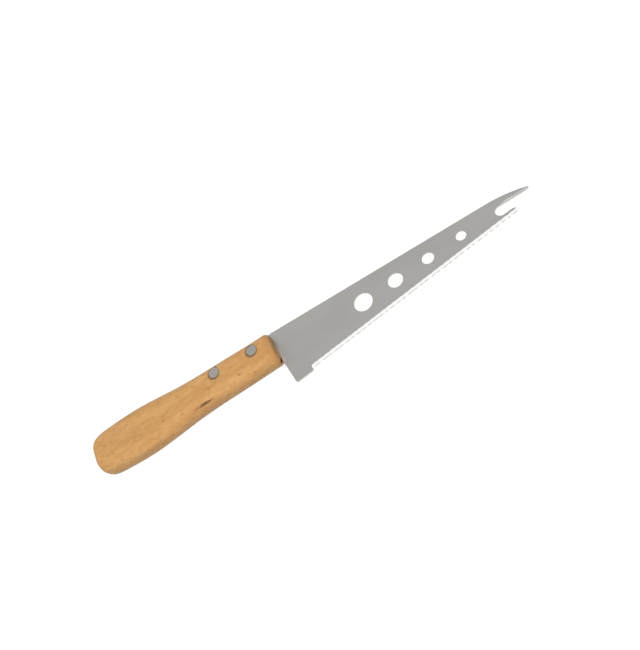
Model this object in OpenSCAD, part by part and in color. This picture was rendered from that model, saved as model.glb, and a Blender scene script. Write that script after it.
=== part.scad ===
// Cheese knife: a pierced, fork-tipped blade riveted into a one-piece beech handle.
// The knife lies on its side. +X runs to the tip, +Y to the spine and +Z up through the
// steel. The origin is under the middle of the whole knife, on the surface it lies on.

/* [Blade] */
// Length from the handle's front face to the tip of the long prong
blade_len = 153.7; // [145:0.1:170]
// Depth from the spine to the unground edge, on the line of the handle's front face
blade_depth = 34.9; // [33:0.1:37]
// Thickness of the sheet steel
stock_t = 1.2; // [1:0.05:1.5]
// Angle in degrees at which the edge closes on the spine
edge_angle = 8.3; // [7.9:0.1:8.7]
// Angle in degrees by which the heel's rear edge leans forward on its way down
heel_lean = 10; // [6:1:14]
// How far ahead of the handle's front face the heel's rear edge leaves the tang
heel_step = 0.35; // [0.2:0.05:0.6]
// Radius on the corner of the heel
heel_r = 1.2; // [0.8:0.1:2]
// Radius of the curve that brings the spine down to the tip
nose_r = 74; // [70:1:90]
// Length of that curve, back from the tip
nose_len = 22.5; // [20:0.5:24]

/* [Grind] */
// Length of the unground stretch at the heel
heel_flat = 14.6; // [11:0.2:18]
// Metal that grinding takes off the blank's edge
grind_loss = 1.05; // [0.9:0.05:1.3]
// Width of the fluted bevel where it starts, at the heel
bevel_heel_w = 1.6; // [1.4:0.1:1.8]
// Width of the fluted bevel at the short prong
bevel_tip_w = 1.5; // [1.3:0.1:1.7]
// Width of the plain bevel on the underside
back_bevel_w = 1.6; // [1.2:0.1:2]
// Pitch of the flutes that leave the edge finely toothed
flute_pitch = 3.65; // [3:0.05:5]
// Depth of each flute
flute_depth = 0.07; // [0.05:0.01:0.1]
// Radius of the wheel's run-out where the grinding starts
run_out_r = 2; // [1.5:0.1:3]
// How far that wheel sinks below the bevel where it comes off
run_out_depth = 0.05; // [0.03:0.01:0.08]

/* [Holes] */
// Diameters of the four round holes, from the heel on
hole_d = [10.6, 8.5, 6.8, 5.7]; // [5:0.1:12]
// Distance of the first hole from the handle's front face
first_hole_x = 53.1; // [49:0.1:57]
// Depth of the first hole's centre under the spine
first_hole_drop = 12.8; // [12.2:0.1:13.4]
// Pitch of the holes
hole_pitch = 20; // [18:0.5:22]

/* [Fork] */
// Length of the slot, from its round end to the tip of the long prong
slot_len = 20.6; // [19:0.1:22]
// Width of the slot at its round end
slot_w = 6; // [5:0.1:6.4]
// Distance from the spine to the slot's upper side, at the round end
slot_drop = 4.8; // [4.5:0.1:5]
// Angle in degrees at which the slot's upper side opens towards the tip
slot_flare = 2; // [1:0.1:3]
// How far the short prong ends behind the long one
prong_step = 8.8; // [8.2:0.1:9.4]
// How far the slot's lower side rises to the crest of the short prong
prong_rise = 0.6; // [0.4:0.1:0.8]
// Radius from that crest down to the short prong's point
prong_r = 4; // [3.4:0.1:4.4]

/* [Handle] */
// Length of the handle
handle_len = 119.8; // [110:0.1:130]
// Thickness of the handle, between its flat sides
handle_t = 14; // [13:0.1:15.5]
// Height of the handle at its front face
front_h = 19.2; // [18:0.1:21]
// How far the back swells above the line of the spine at the butt
back_rise = 1.1; // [0.6:0.1:1.6]
// How far the belly drops from the front to the butt
belly_drop = 7.4; // [5:0.1:9]
// Radius on the handle's long edges
side_r = 6; // [5:0.1:7]
// Angle in degrees at which the front face leans forward on its way down
front_lean = 4.5; // [0:0.5:8]
// Radius at the front face on the back and the belly
front_r = 2.4; // [1.6:0.1:3]
// Radius at the front face on the flat sides
front_side_r = 1.2; // [0.8:0.1:1.6]
// Length over which the outline rounds off at the butt
butt_len = 13; // [10:0.5:18]
// Length over which the flat sides round off at the butt
butt_side_len = 3.5; // [3:0.5:8]

/* [Tang and kerf] */
// Depth of the tang, from the spine line down
tang_depth = 15; // [14:0.1:16]
// Distance from the front face to the tang's square end
tang_len = 50; // [46:0.5:54]
// Radius of the saw that cuts the kerf
saw_r = 75; // [70:1:90]
// How far the saw's centre stands behind the front face
saw_back = 14; // [10:0.5:18]
// How far the tang's back lies below the wood
tang_set_in = 0.15; // [0.1:0.05:0.3]
// Side clearance of the steel in the kerf, on each face
kerf_clear = 0.05; // [0.02:0.01:0.1]
// Clearance between the tang's lower edge and the bottom of the kerf
kerf_bottom_clear = 0.2; // [0.1:0.05:0.4]
// How far back the kerf opens through the belly, behind the front face
kerf_mouth = 2.4; // [2:0.1:3.5]

/* [Rivets] */
// Distance of the front rivet from the handle's front face
front_rivet_x = 11.2; // [10:0.1:13]
// Pitch of the two rivets
rivet_pitch = 24.3; // [22:0.1:26]
// Distance of the rivets below the line of the spine
rivet_drop = 7; // [6.8:0.1:8]
// Diameter of the rivet heads
head_d = 6.4; // [6:0.1:7]
// Thickness of the rivet heads
head_t = 1.5; // [1.2:0.1:2]
// Outer diameter of the rivet's socket
socket_d = 4.4; // [4.2:0.1:4.8]
// Diameter of the rivet's pin
pin_d = 2.8; // [2.5:0.1:3]
// Radial clearance of the pin in its socket
pin_clear = 0.02; // [0.01:0.01:0.05]
// Radial clearance of the rivets in the wood and the tang
rivet_clear = 0.1; // [0.05:0.05:0.2]
// Radial gap round the heads, where the counterbore shows as a dark line
head_gap = 0.15; // [0.1:0.05:0.3]
// Gap between the end of the socket and the pin's head
socket_gap = 0.3; // [0.2:0.1:0.6]
// How far the pin stops short of the bottom of its socket
pin_short = 0.8; // [0.5:0.1:1.5]

/* [Hidden] */

// Fineness of the round parts, and a finer one for the long curves
$fn = 48;
fine_fn = 180;
// Overrun of every cut past the face that it leaves
cut = 2 * stock_t;

steel = [0.66, 0.66, 0.65];
beech = [0.82, 0.63, 0.39];
rivet_metal = [0.60, 0.60, 0.62];

half_t = stock_t / 2;
half_side = handle_t / 2;

// The blank's lower edge and the ground edge inside it, as heights under the spine at x
edge_slope = tan(edge_angle);
ground_depth = blade_depth - grind_loss / cos(edge_angle);
function blank_y(x) = x * edge_slope - blade_depth;
function edge_y(x) = x * edge_slope - ground_depth;

// Foot of the heel, where its leaning rear edge meets the blank's lower edge
lean_slope = tan(heel_lean);
heel_foot_y = (edge_slope * (heel_step - lean_slope * tang_depth) - blade_depth)
    / (1 + edge_slope * lean_slope);
heel_foot = [heel_step - (heel_foot_y + tang_depth) * lean_slope, heel_foot_y];
// Its corner is rounded by an arc that touches both edges
heel_corner = 90 + heel_lean - edge_angle;
heel_touch = heel_r / tan(heel_corner / 2);
along_edge = [cos(edge_angle), sin(edge_angle)];
heel_centre = heel_foot + heel_touch * along_edge + heel_r * [-sin(edge_angle), cos(edge_angle)];
heel_steps = 8;
heel_arc = [for (k = [0:heel_steps])
    let(a = 180 + heel_lean + (180 - heel_corner) * k / heel_steps)
    heel_centre + heel_r * [cos(a), sin(a)]];

// The slot's round end, and seen from there the crest of the short prong and its rounded end
slot_centre = [blade_len - slot_len + slot_w / 2, -slot_drop - slot_w / 2];
prong_x = blade_len - prong_step;
prong_crest = [prong_x - prong_r - slot_centre[0], prong_rise - slot_w / 2];
prong_steps = 12;
prong_end = [for (k = [0:prong_steps]) let(a = 90 - 90 * k / prong_steps)
    prong_crest + prong_r * [cos(a), sin(a) - 1]];
// The slot's lower side starts on its line to the crest, this share of the width along, just
// inside the round end
slot_start_share = 0.06;
slot_start = [slot_start_share * slot_w,
              prong_rise * slot_start_share * slot_w / prong_crest[0] - slot_w / 2];

// The grind runs up the edge from the heel's flat to the short prong
grind_start = [heel_flat, edge_y(heel_flat)];
grind_len = (prong_x - heel_flat) / cos(edge_angle);
flute_count = ceil(grind_len / flute_pitch);
// A wheel of this radius sinks by the flute's depth over one pitch
wheel_r = flute_pitch * flute_pitch / (8 * flute_depth) + flute_depth / 2;
wheel_reach = 5 * bevel_heel_w;
function bevel_w(s) = bevel_heel_w + (bevel_tip_w - bevel_heel_w) * s / grind_len;

// Lines of the handle by the share of its length behind the front face: its back, as
// shares of back_rise over the spine line, and its belly, as shares of belly_drop
back_shares = [[0, 0], [0.10, -0.46], [0.22, -0.55], [0.35, -0.77], [0.48, -0.62],
               [0.60, 0.27], [0.72, 0.96], [0.84, 0.50], [1, -1.00]];
belly_shares = [[0, 0], [0.10, 0.10], [0.22, 0.21], [0.35, 0.31], [0.48, 0.50],
                [0.60, 0.77], [0.72, 0.98], [0.84, 1.01], [1, 0.89]];

// The smooth curve through a table: each row's slope comes from its two neighbours
function slope(t, i) =
    let(a = t[max(i - 1, 0)], b = t[min(i + 1, len(t) - 1)]) (b[1] - a[1]) / (b[0] - a[0]);
function row_at(t, s, i = 0) = i >= len(t) - 2 || s < t[i + 1][0] ? i : row_at(t, s, i + 1);
function smooth(t, s) =
    let(i = row_at(t, s), a = t[i], b = t[i + 1], w = b[0] - a[0], u = (s - a[0]) / w, v = 1 - u)
    a[1] * (1 + 2 * u) * v * v + b[1] * (3 - 2 * u) * u * u
    + w * (slope(t, i) * u * v * v - slope(t, i + 1) * u * u * v);
function back_y(x) = back_rise * smooth(back_shares, -x / handle_len);
function belly_y(x) = -front_h - belly_drop * smooth(belly_shares, -x / handle_len);

// The ends: a quarter round over the front face, and a squarish one over the butt
butt_power = 3.4;
side_power = 2.4;
function squarish(u, power) = pow(1 - pow(max(min(u, 1), 0), power), 1 / power);
function quarter(x, r) = -x >= r ? 0 : r - sqrt(r * r - (r + x) * (r + x));
function half_height(x) =
    (back_y(x) - belly_y(x)) / 2 * squarish(1 - (handle_len + x) / butt_len, butt_power)
    - quarter(x, front_r);
function half_thick(x) =
    half_side * squarish(1 - (handle_len + x) / butt_side_len, side_power)
    - quarter(x, front_side_r);
function mid_y(x) = (back_y(x) + belly_y(x)) / 2;

// How far a point leans forward for each millimetre below the middle: fully at the front
// face, and less and less towards the butt
function lean(x) = tan(front_lean) * pow(1 + x / handle_len, 2);

// One section of the handle: a rectangle with round corners, read from +Y over +Z
corner_steps = 7;
corner_most_share = 0.97;
function section(x) =
    let(h = half_height(x), t = half_thick(x), r = min(side_r, corner_most_share * min(h, t)))
    [for (q = [0:3], k = [0:corner_steps])
        let(a = 90 * (q + k / corner_steps), sy = q == 0 || q == 3 ? 1 : -1, sz = q < 2 ? 1 : -1,
            rise = sy * (h - r) + r * cos(a))
        [x - lean(x) * rise, mid_y(x) + rise, sz * (t - r) + r * sin(a)]];

// Stations of the sections, close together where the ends turn in
front_steps = 5;
body_steps = 28;
butt_steps = 13;
butt_last_share = 0.9995;
stations = concat(
    [for (i = [0:front_steps - 1]) front_r * (cos(90 * i / front_steps) - 1)],
    [for (i = [0:body_steps]) -front_r - (handle_len - butt_len - front_r) * i / body_steps],
    [for (i = [1:butt_steps])
        butt_len - handle_len - butt_len * butt_last_share * sin(90 * i / butt_steps)]);

// The saw that cuts the kerf, whose sweep the tang's lower edge follows with a clearance
saw_centre = [-saw_back, saw_r - tang_depth - kerf_bottom_clear];

// The knife is put with its middle over the origin and its flat side on the surface
high_y = max([for (x = stations) mid_y(x) + half_height(x)]);
low_y = min([for (p = heel_arc) p[1]]);
place = [(handle_len - blade_len) / 2, -(high_y + low_y) / 2, half_side];

// A flat outline cut from the sheet
module sheet() {
    translate([0, 0, -half_t]) linear_extrude(stock_t) children();
}

// The blade proper, with its spine curved down to the nose and the corner of its heel rounded
module blade_sheet() {
    difference() {
        sheet() polygon(concat(heel_arc, [[blade_len, blank_y(blade_len)], [blade_len, 0], [0, 0],
                                          [0, -tang_depth / 2], [heel_step, -tang_depth / 2],
                                          [heel_step, -tang_depth]]));
        nose_cut();
    }
}

// What the nose's round takes off the spine
module nose_cut() {
    nose_drop = nose_r - sqrt(nose_r * nose_r - nose_len * nose_len);
    difference() {
        translate([blade_len - nose_len, -nose_drop, -cut])
            cube([nose_len + cut, nose_drop + cut, 2 * cut]);
        translate([blade_len - nose_len, -nose_r, -2 * cut])
            cylinder(h = 4 * cut, r = nose_r, $fn = fine_fn);
    }
}

// The tang: its back lies just under the wood, and its lower edge follows the saw's cut.
// It starts inside the blade proper, so that the two make one piece
module tang_sheet() {
    back_steps = 6;
    difference() {
        sheet() polygon(concat([for (i = [0:back_steps]) let(x = -tang_len * i / back_steps)
                                    [x, back_y(x) - tang_set_in]],
                               [[-tang_len, -tang_depth], [2 * heel_step, -tang_depth],
                                [2 * heel_step, -tang_set_in]]));
        difference() {
            translate([-tang_len - cut, -tang_depth - cut, -cut])
                cube([tang_len + cut - saw_back, tang_depth + cut, 2 * cut]);
            translate([saw_centre[0], saw_centre[1], -2 * cut])
                cylinder(h = 4 * cut, r = saw_r - kerf_bottom_clear, $fn = fine_fn);
        }
    }
}

// The slot between the prongs, which runs round the end of the short one and off the edge
module fork_slot() {
    reach = slot_len + cut;
    translate([slot_centre[0], slot_centre[1], -cut]) {
        cylinder(h = 2 * cut, d = slot_w);
        linear_extrude(2 * cut)
            polygon(concat([[0, 0], slot_start], prong_end,
                           [[prong_x - slot_centre[0], -blade_depth], [reach, -blade_depth],
                            [reach, slot_w / 2 + reach * tan(slot_flare)], [0, slot_w / 2]]));
    }
}

// A place on the ground edge: x along the edge, y up into the steel
module on_edge(s) {
    translate(grind_start) rotate(edge_angle) translate([s, 0, 0]) children();
}

// A wheel laid along a bevel of width w at s, sunk below it by depth
module wheel(s, w, r, depth) {
    on_edge(s) rotate([atan(half_t / w), 0, 0]) translate([0, -wheel_reach / 2, r - depth])
        rotate([-90, 0, 0]) cylinder(h = 2 * wheel_reach, r = r, $fn = fine_fn);
}

module flute(i) {
    s = flute_pitch * (i + 1 / 2);
    wheel(s, bevel_w(s), wheel_r, flute_depth);
}

// The fluted bevel on the upper face; near the heel the wheels stop short at the flat
module upper_grind() {
    near_flutes = 2;
    intersection() {
        for (i = [0:near_flutes - 1]) flute(i);
        on_edge(0) translate([0, -wheel_reach, -wheel_reach])
            cube([2 * near_flutes * flute_pitch, 3 * wheel_reach, 3 * wheel_reach]);
    }
    for (i = [near_flutes:flute_count]) flute(i);
    wheel(0, bevel_w(0), run_out_r, run_out_depth);
}

// The plain bevel on the underside, as seen with that side up
module under_grind() {
    on_edge(0) rotate([atan(half_t / back_bevel_w), 0, 0]) translate([0, -wheel_reach / 2, 0])
        cube([grind_len + 2 * cut, 2 * wheel_reach, wheel_reach]);
    wheel(0, back_bevel_w, run_out_r, run_out_depth);
}

// Round cuts through the steel: the row of holes, which climbs half as steeply as the edge,
// and the two for the rivets
module round_holes() {
    for (i = [0:len(hole_d) - 1])
        translate([first_hole_x, -first_hole_drop, -cut]) rotate(edge_angle / 2)
            translate([hole_pitch * i, 0, 0]) cylinder(h = 2 * cut, d = hole_d[i]);
    for (i = [0:1]) at_rivet(i) translate([0, 0, -cut])
        cylinder(h = 2 * cut, d = socket_d + 2 * rivet_clear);
}

module blade() {
    color(steel) translate(place) difference() {
        union() {
            blade_sheet();
            tang_sheet();
        }
        fork_slot();
        round_holes();
        upper_grind();
        mirror([0, 0, 1]) under_grind();
    }
}

// The shaped body of the handle, lofted through its sections
module handle_form() {
    rings = [for (x = stations) section(x)];
    m = len(rings[0]);
    n = len(rings);
    polyhedron(
        points = [for (ring = rings, p = ring) p],
        faces = concat(
            [[for (j = [0:m - 1]) j]],
            [for (i = [0:n - 2], j = [0:m - 1])
                [i * m + j, (i + 1) * m + j, (i + 1) * m + (j + 1) % m, i * m + (j + 1) % m]],
            [[for (j = [m - 1:-1:0]) (n - 1) * m + j]]),
        convexity = 4);
}

// The kerf: sawn down from the back for the tang, and through the belly at its mouth
module kerf() {
    kerf_w = stock_t + 2 * kerf_clear;
    translate([0, 0, -kerf_w / 2]) {
        translate([-saw_back, -tang_depth - kerf_bottom_clear, 0])
            cube([saw_back + cut, 2 * tang_depth, kerf_w]);
        translate([saw_centre[0], saw_centre[1], 0])
            cylinder(h = kerf_w, r = saw_r, $fn = fine_fn);
        translate([-kerf_mouth, -blade_depth, 0]) cube([kerf_mouth + cut, blade_depth, kerf_w]);
    }
}

// Place of rivet i, on the middle plane of the steel
module at_rivet(i) {
    translate([-front_rivet_x - rivet_pitch * i, -rivet_drop, 0]) children();
}

// Bore for a rivet, with a counterbore for the head on each side
module rivet_bore() {
    translate([0, 0, -half_side - cut])
        cylinder(h = handle_t + 2 * cut, d = socket_d + 2 * rivet_clear);
    for (side = [0, 1]) mirror([0, 0, side])
        translate([0, 0, half_side - head_t]) cylinder(h = head_t + cut, d = head_d + 2 * head_gap);
}

module handle() {
    color(beech) translate(place) difference() {
        handle_form();
        kerf();
        for (i = [0:1]) at_rivet(i) rivet_bore();
    }
}

// A rivet's head, ground flush with the wood: flat, then turning over with its edge
module rivet_head(i) {
    round_y = back_y(-front_rivet_x - rivet_pitch * i) + rivet_drop - side_r;
    intersection() {
        translate([0, 0, half_side - head_t]) cylinder(h = head_t, d = head_d);
        union() {
            translate([-head_d, round_y - 2 * head_d, 0]) cube([2 * head_d, 2 * head_d, half_side]);
            translate([-head_d, round_y, half_side - side_r]) rotate([0, 90, 0])
                cylinder(h = 2 * head_d, r = side_r);
        }
    }
}

// The half with the socket comes in from the upper side
module rivet_socket(i) {
    foot = head_t - half_side + socket_gap;
    color(rivet_metal) translate(place) at_rivet(i) difference() {
        union() {
            rivet_head(i);
            translate([0, 0, foot]) cylinder(h = half_side - head_t - foot, d = socket_d);
        }
        translate([0, 0, foot - cut])
            cylinder(h = half_side - head_t - foot + cut, d = pin_d + 2 * pin_clear);
    }
}

// The half with the pin comes in from below and is pressed into the socket
module rivet_pin(i) {
    color(rivet_metal) translate(place) at_rivet(i) {
        mirror([0, 0, 1]) rivet_head(i);
        translate([0, 0, head_t - half_side])
            cylinder(h = handle_t - 2 * head_t - pin_short, d = pin_d);
    }
}

blade();
handle();
rivet_socket(0);  // front_rivet_socket
rivet_pin(0);  // front_rivet_pin
rivet_socket(1);  // rear_rivet_socket
rivet_pin(1);  // rear_rivet_pin
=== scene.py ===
"""A cheese knife on a white table: pierced, fork-tipped steel blade, beech handle, two cutler's rivets.

Shapes are worked out in millimetres in the knife's own axes: x is 0 at the handle's front face and
grows to the tip, y is 0 on the line of the spine and grows upwards past it, and z is 0 in the middle
of the steel. place() moves them into the frame of the CAD model, in metres.
"""
import math

import bpy
import numpy as np
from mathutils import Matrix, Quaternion, Vector
from mathutils.geometry import tessellate_polygon


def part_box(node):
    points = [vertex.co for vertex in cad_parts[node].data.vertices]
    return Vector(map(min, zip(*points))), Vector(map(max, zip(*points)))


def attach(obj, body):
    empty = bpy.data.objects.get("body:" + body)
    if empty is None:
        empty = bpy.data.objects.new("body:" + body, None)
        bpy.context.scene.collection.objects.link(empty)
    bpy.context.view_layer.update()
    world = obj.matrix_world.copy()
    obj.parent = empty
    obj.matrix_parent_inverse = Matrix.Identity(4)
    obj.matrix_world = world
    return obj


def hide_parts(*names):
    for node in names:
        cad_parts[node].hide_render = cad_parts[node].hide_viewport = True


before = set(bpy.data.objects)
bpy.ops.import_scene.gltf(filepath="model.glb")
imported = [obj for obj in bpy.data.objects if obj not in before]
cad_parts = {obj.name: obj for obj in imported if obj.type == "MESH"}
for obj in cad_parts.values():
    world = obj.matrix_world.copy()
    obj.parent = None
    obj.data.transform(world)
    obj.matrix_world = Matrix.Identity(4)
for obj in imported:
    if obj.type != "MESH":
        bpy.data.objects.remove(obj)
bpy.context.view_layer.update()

MM = 0.001

# The tang, which the blade's box takes in
TANG_LEN = 50

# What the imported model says, in millimetres: the zero of the knife's axes, and the overall sizes
blade_low, blade_high = (np.array(corner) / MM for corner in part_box("blade"))
wood_low, wood_high = (np.array(corner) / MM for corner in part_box("handle"))
ORIGIN = np.array([blade_low[0] + TANG_LEN, blade_high[1], (blade_low[2] + blade_high[2]) / 2])
BLADE_LEN = blade_high[0] - ORIGIN[0]
HANDLE_LEN = ORIGIN[0] - wood_low[0]
HALF_T = (blade_high[2] - blade_low[2]) / 2
HALF_SIDE = (wood_high[2] - wood_low[2]) / 2

# Blade outline
BLADE_DEPTH = 34.9
EDGE_ANGLE = math.radians(8.3)
HEEL_LEAN = math.radians(10)
HEEL_STEP = 0.35
HEEL_R = 1.2
NOSE_R = 74
NOSE_LEN = 22.5
EDGE_BREAK = 0.07

# Grind: the fluted bevel on the upper face and the plain one under it. GROUND_H is the height over
# the edge that no ground surface reaches
HEEL_FLAT = 15.2
GRIND_LOSS = 1.05
BEVEL_HEEL_W = 1.6
BEVEL_TIP_W = 1.5
BACK_BEVEL_W = 1.6
GROUND_H = 2.6
FLUTE_PITCH = 3.65
FLUTE_DEPTH = 0.07
RUN_OUT_R = 1.2
RUN_OUT_DEPTH = 0.05
RUN_OUT_GROOVE = 0.45

# Honing: the band's width, the ridges' height over the edge, and the hand's uneven stroke in shares
# of that height, a steady one with two waves on it, whose rates are in radians per millimetre
HONE_W = 0.28
HONE_RISE = 0.24
HONE_STEADY = 0.85
HONE_SWAY, HONE_SWAY_RATE = 0.2, 0.9
HONE_SHAKE, HONE_SHAKE_RATE = 0.15, 2.3
HONE_FADE = 0.45
HONE_START = 0.2
HONE_BUILD_UP = 1.2

# Holes and fork. The slot's round end begins at SLOT_ROUND_FROM degrees, on the short prong
HOLE_D = (10.6, 8.5, 6.8, 5.7)
FIRST_HOLE_X = 53.1
FIRST_HOLE_DROP = 12.8
HOLE_PITCH = 20
SLOT_LEN = 20.6
SLOT_W = 6
SLOT_DROP = 4.8
SLOT_FLARE = math.radians(0.7)
SLOT_ROUND_FROM = 285
PRONG_STEP = 8.8
PRONG_RISE = 0.6
PRONG_R = 4

# The long prong's filed bevel along the slot, and its point, swept up
TIP_BEVEL_W = 0.85
TIP_BEVEL_X = 137
TIP_BEVEL_RUN = 4
TIP_BEVEL_BAND = 0.8
TIP_SWEEP = 0.5
TIP_SWEEP_LEN = 5

# Handle. A section's corner radius takes FULLEST_ROUND of its half height or side at most
FRONT_H = 19.2
BACK_RISE = 1.1
BELLY_DROP = 7.4
SIDE_R = 6
FRONT_LEAN = math.radians(4.5)
BUTT_LEAN = math.radians(2.3)
FRONT_R = 2.4
FRONT_SIDE_R = 1.2
BUTT_LEN = 13
BUTT_SIDE_LEN = 3.5
BUTT_POWER = 3.4
SIDE_POWER = 2.4
FULLEST_ROUND = 0.97

# Tang and kerf
TANG_DEPTH = 15
SAW_R = 75
SAW_BACK = 14
TANG_SET_IN = 0.15
KERF_CLEAR = 0.05
KERF_BOTTOM_CLEAR = 0.2
KERF_MOUTH = 0.6

# Rivets
RIVET_X = (-11.2, -35.5)
RIVET_Y = -7
HEAD_D = 6.4
HEAD_T = 1.5
SOCKET_D = 4.4
PIN_D = 2.8
PIN_CLEAR = 0.02
RIVET_CLEAR = 0.1
HEAD_GAP = 0.15
BORE_SHIFT = (-0.04, -0.08)
SOCKET_GAP = 0.3
PIN_SHORT = 0.8
HEAD_BREAK = 0.12

# Angle between two faces, in degrees, from which their edge is sharp
WOOD_SHARP, STEEL_SHARP, RIVET_SHARP = 32, 50, 40

# Lines of the handle by the share of its length behind the front face: its back in shares
# of BACK_RISE over the spine line, and its belly in shares of BELLY_DROP
BACK_SHARES = np.array([
    [0, 0], [0.10, -0.46], [0.22, -0.55], [0.35, -0.77], [0.48, -0.62],
    [0.60, 0.27], [0.72, 0.96], [0.84, 0.50], [1, -1.00]])
BELLY_SHARES = np.array([
    [0, 0], [0.10, 0.10], [0.22, 0.21], [0.35, 0.31], [0.48, 0.50],
    [0.60, 0.77], [0.72, 0.98], [0.84, 1.01], [1, 0.89]])


def place(points):
    """Millimetres in the knife's own axes to metres in the CAD frame: shift by ORIGIN, then scale."""
    return (np.asarray(points, float) + ORIGIN) * MM


def new_piece(name, points, faces, smooth=True):
    """A mesh object at the origin from points in the knife's axes and a list of faces."""
    mesh = bpy.data.meshes.new(name)
    mesh.from_pydata(place(points).tolist(), [], faces)
    mesh.update()
    mesh.polygons.foreach_set("use_smooth", np.full(len(mesh.polygons), smooth))
    piece = bpy.data.objects.new(name, mesh)
    bpy.context.scene.collection.objects.link(piece)
    return piece


def grid_faces(rows, columns, closed=False):
    """Quads of a grid of rows x columns points, row by row; closed joins the last column to the first."""
    i, j = np.meshgrid(np.arange(rows - 1), np.arange(columns if closed else columns - 1), indexing="ij")
    near, far = i * columns, (i + 1) * columns
    nxt = (j + 1) % columns
    return np.stack([near + j, near + nxt, far + nxt, far + j], -1).reshape(-1, 4).tolist()


def smooth_curve(table, share):
    """The cubic curve through a table, whose slope at each row is that between the row's neighbours."""
    xs, ys = table.T
    rows = np.arange(len(xs))
    before, after = np.maximum(rows - 1, 0), np.minimum(rows + 1, len(xs) - 1)
    slopes = (ys[after] - ys[before]) / (xs[after] - xs[before])
    i = np.clip(np.searchsorted(xs, share, "right") - 1, 0, len(xs) - 2)
    w = xs[i + 1] - xs[i]
    u = (share - xs[i]) / w
    v = 1 - u
    return (ys[i] * (1 + 2 * u) * v * v + ys[i + 1] * (3 - 2 * u) * u * u
            + w * (slopes[i] * u * v * v - slopes[i + 1] * u * u * v))


def back_y(x):
    """Height of the handle's back at x."""
    return BACK_RISE * smooth_curve(BACK_SHARES, -x / HANDLE_LEN)


def belly_y(x):
    """Height of the handle's belly at x."""
    return -FRONT_H - BELLY_DROP * smooth_curve(BELLY_SHARES, -x / HANDLE_LEN)


def squarish(share, power):
    """A superellipse's quarter: (1 - share^power)^(1/power), which is 1 at 0 and falls to 0 at 1."""
    return (1 - np.clip(share, 0, 1) ** power) ** (1 / power)


def blank_y(x):
    """The blank's lower edge."""
    return x * math.tan(EDGE_ANGLE) - BLADE_DEPTH


def edge_y(x):
    """The ground edge, inside the blank's by what the grinding takes off."""
    return blank_y(x) + GRIND_LOSS / math.cos(EDGE_ANGLE)


# The handle

def quarter(x, radius):
    """How far a quarter round at the front face draws the section in at x."""
    return radius - np.sqrt(radius ** 2 - np.clip(radius + x, 0, radius) ** 2)


def lean(x):
    """Backward slope of the handle's sections: most at the front face, least in the middle, and
    growing again towards the butt."""
    along = x / HANDLE_LEN
    return math.tan(FRONT_LEAN) * (1 + along) ** 2 + math.tan(BUTT_LEAN) * along ** 4


def handle_sections(stations, corner_steps=14, flat_steps=6):
    """Sections of the handle as an array of stations x points x 3.

    Each is a rectangle with round corners. A point is its corner's centre, which slides along
    the flats between the corners, plus the corner's radius times (cos a, sin a). Each point
    moves back by the section's lean times its height over the section's middle.
    """
    turn, slide_y, slide_z = [], [], []
    corners = [(1, 1), (-1, 1), (-1, -1), (1, -1)]
    for q, (sy, sz) in enumerate(corners):
        ny, nz = corners[(q + 1) % 4]
        bend = np.linspace(0, 1, corner_steps, endpoint=False)
        run = np.linspace(0, 1, flat_steps, endpoint=False)
        turn += list(90 * (q + bend)) + [90 * (q + 1)] * flat_steps
        slide_y += [sy] * corner_steps + list(sy + (ny - sy) * run)
        slide_z += [sz] * corner_steps + list(sz + (nz - sz) * run)
    turn, slide_y, slide_z = np.radians(turn), np.array(slide_y), np.array(slide_z)
    top, low = back_y(stations), belly_y(stations)
    half_h = ((top - low) / 2 * squarish(1 - (HANDLE_LEN + stations) / BUTT_LEN, BUTT_POWER)
              - quarter(stations, FRONT_R))
    half_t = (HALF_SIDE * squarish(1 - (HANDLE_LEN + stations) / BUTT_SIDE_LEN, SIDE_POWER)
              - quarter(stations, FRONT_SIDE_R))
    radius = np.minimum(SIDE_R, FULLEST_ROUND * np.minimum(half_h, half_t))[:, None]
    rise = (half_h[:, None] - radius) * slide_y + radius * np.cos(turn)
    z = (half_t[:, None] - radius) * slide_z + radius * np.sin(turn)
    x = stations[:, None] - lean(stations)[:, None] * rise
    return np.stack([x, ((top + low) / 2)[:, None] + rise, z], -1)


def prism(name, outline, low, high):
    """A flat outline, anticlockwise from above, carried from z = low to z = high."""
    outline = np.asarray(outline, float)
    n = len(outline)
    points = np.concatenate([np.column_stack([outline, np.full(n, z)]) for z in (low, high)])
    faces = grid_faces(2, n, closed=True) + [list(range(n))[::-1], list(range(n, 2 * n))]
    return new_piece(name, points, faces, smooth=False)


def lathe(name, profile, centre, segments=64, lift=None):
    """A profile of (radius, z) rows turned about an upright axis; lift(points) is added to z if given.

    The profile's first and last radius is 0, and there the ring is one point.
    """
    turn = np.linspace(0, 2 * np.pi, segments, endpoint=False)
    rings = np.array(profile[1:-1], float)
    x = centre[0] + rings[:, :1] * np.cos(turn)
    y = centre[1] + rings[:, :1] * np.sin(turn)
    z = np.repeat(rings[:, 1:2], segments, 1)
    body = np.stack([x, y, z], -1).reshape(-1, 3)
    poles = np.array([[centre[0], centre[1], profile[0][1]], [centre[0], centre[1], profile[-1][1]]])
    points = np.concatenate([body, poles])
    if lift is not None:
        points[:, 2] += lift(points)
    n, last = len(body), len(body) - segments
    around = np.arange(segments)
    after = (around + 1) % segments
    fans = np.concatenate([
        np.column_stack([np.full(segments, n), after, around]),
        np.column_stack([np.full(segments, n + 1), last + around, last + after])]).tolist()
    body_faces = [f[::-1] for f in grid_faces(len(rings), segments, closed=True)]
    return new_piece(name, points, body_faces + fans)


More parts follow.
